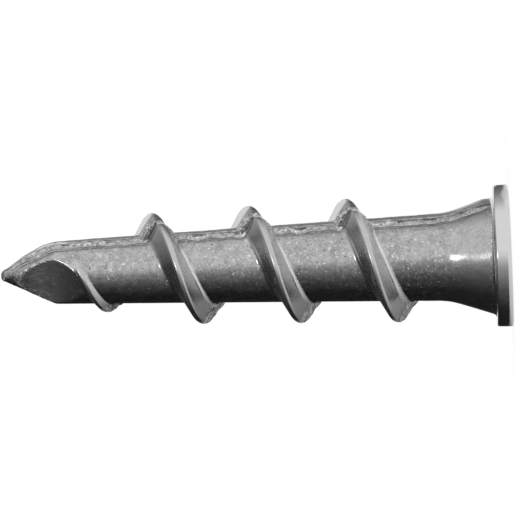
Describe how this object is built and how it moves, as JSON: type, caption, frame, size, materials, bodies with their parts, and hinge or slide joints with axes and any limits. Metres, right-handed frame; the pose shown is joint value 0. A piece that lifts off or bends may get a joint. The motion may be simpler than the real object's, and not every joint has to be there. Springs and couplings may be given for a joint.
{
  "type": "self-drilling drywall anchor",
  "caption": "Cast zinc wall anchor with a flanged head, a tapered shank, one coarse helical thread and a drill point hollowed on two sides; screws into plasterboard and takes a screw in its hole.",
  "frame": {"origin": "centre of the flange's flat outer face, on the axis", "axes": "+Z along the axis from the flange face towards the drill point; the casting's parting plane is XZ and the hollowed sides of the drill point face +Y and -Y"},
  "size_m": [0.0088, 0.0088, 0.032],
  "materials": {
    "zinc": "as-cast zinc alloy, semi-gloss with a mottled casting skin"
  },
  "bodies": {
    "root": {"anchor": "zinc"}
  },
  "joints": []
}
